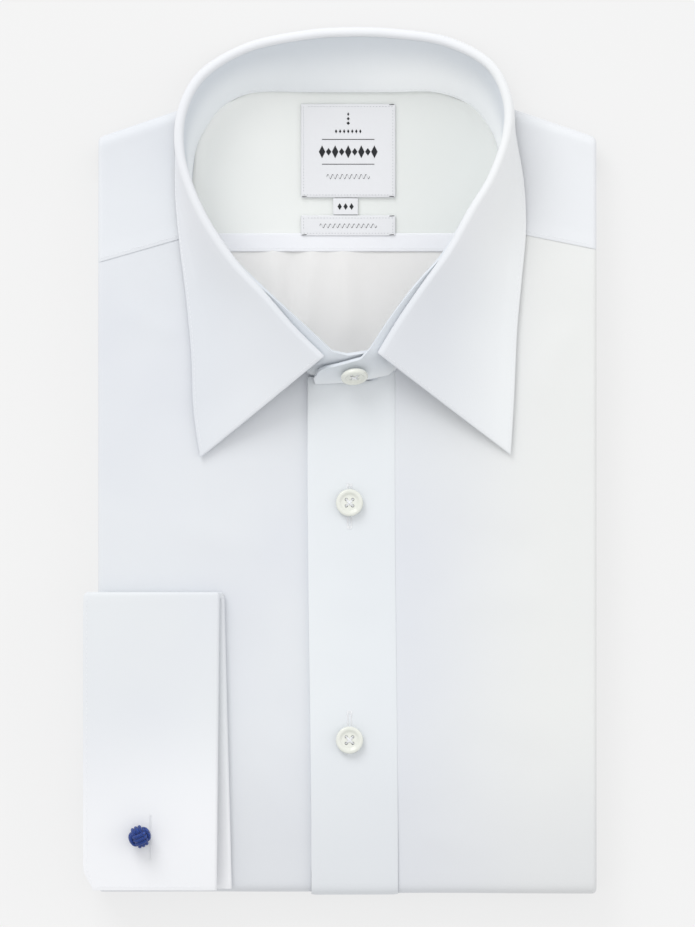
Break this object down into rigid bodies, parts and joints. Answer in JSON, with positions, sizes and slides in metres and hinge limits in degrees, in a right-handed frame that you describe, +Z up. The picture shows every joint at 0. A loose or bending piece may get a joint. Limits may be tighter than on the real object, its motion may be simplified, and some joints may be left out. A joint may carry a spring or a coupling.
{
  "type": "long sleeve dress shirt, folded",
  "caption": "Buttoned dress shirt folded flat, with a pointed collar standing open, a front placket and a double cuff with a silk knot link laid on the front.",
  "frame": {"origin": "middle of the folded shirt on the table, at the height that it rests on", "axes": "+Y from the bottom fold up to the collar, +X towards the wearer's left, +Z up from the table through the fronts"},
  "size_m": [0.2156, 0.3645, 0.04],
  "materials": {
    "poplin": "white cotton poplin, pressed",
    "fused_poplin": "white cotton poplin on a fused lining, pressed smooth",
    "inside_cloth": "the same poplin, seen from inside",
    "label": "woven satin label",
    "button_resin": "off-white, polished",
    "link_cord": "navy braided cord"
  },
  "bodies": {
    "root": {"hidden_layers": "inside_cloth", "front_right": "poplin", "front_left": "poplin", "placket": "fused_poplin", "yoke_right": "poplin", "yoke_left": "poplin", "yoke_inner": "inside_cloth", "back": "inside_cloth", "neckband": "fused_poplin", "collar_leaf": "fused_poplin", "sleeve_right": "poplin", "cuff_right": "fused_poplin", "link_right": "link_cord", "button_collar": "button_resin", "button_upper": "button_resin", "button_lower": "button_resin", "label_main": "label", "label_size": "label", "label_lower": "label"}
  },
  "joints": []
}
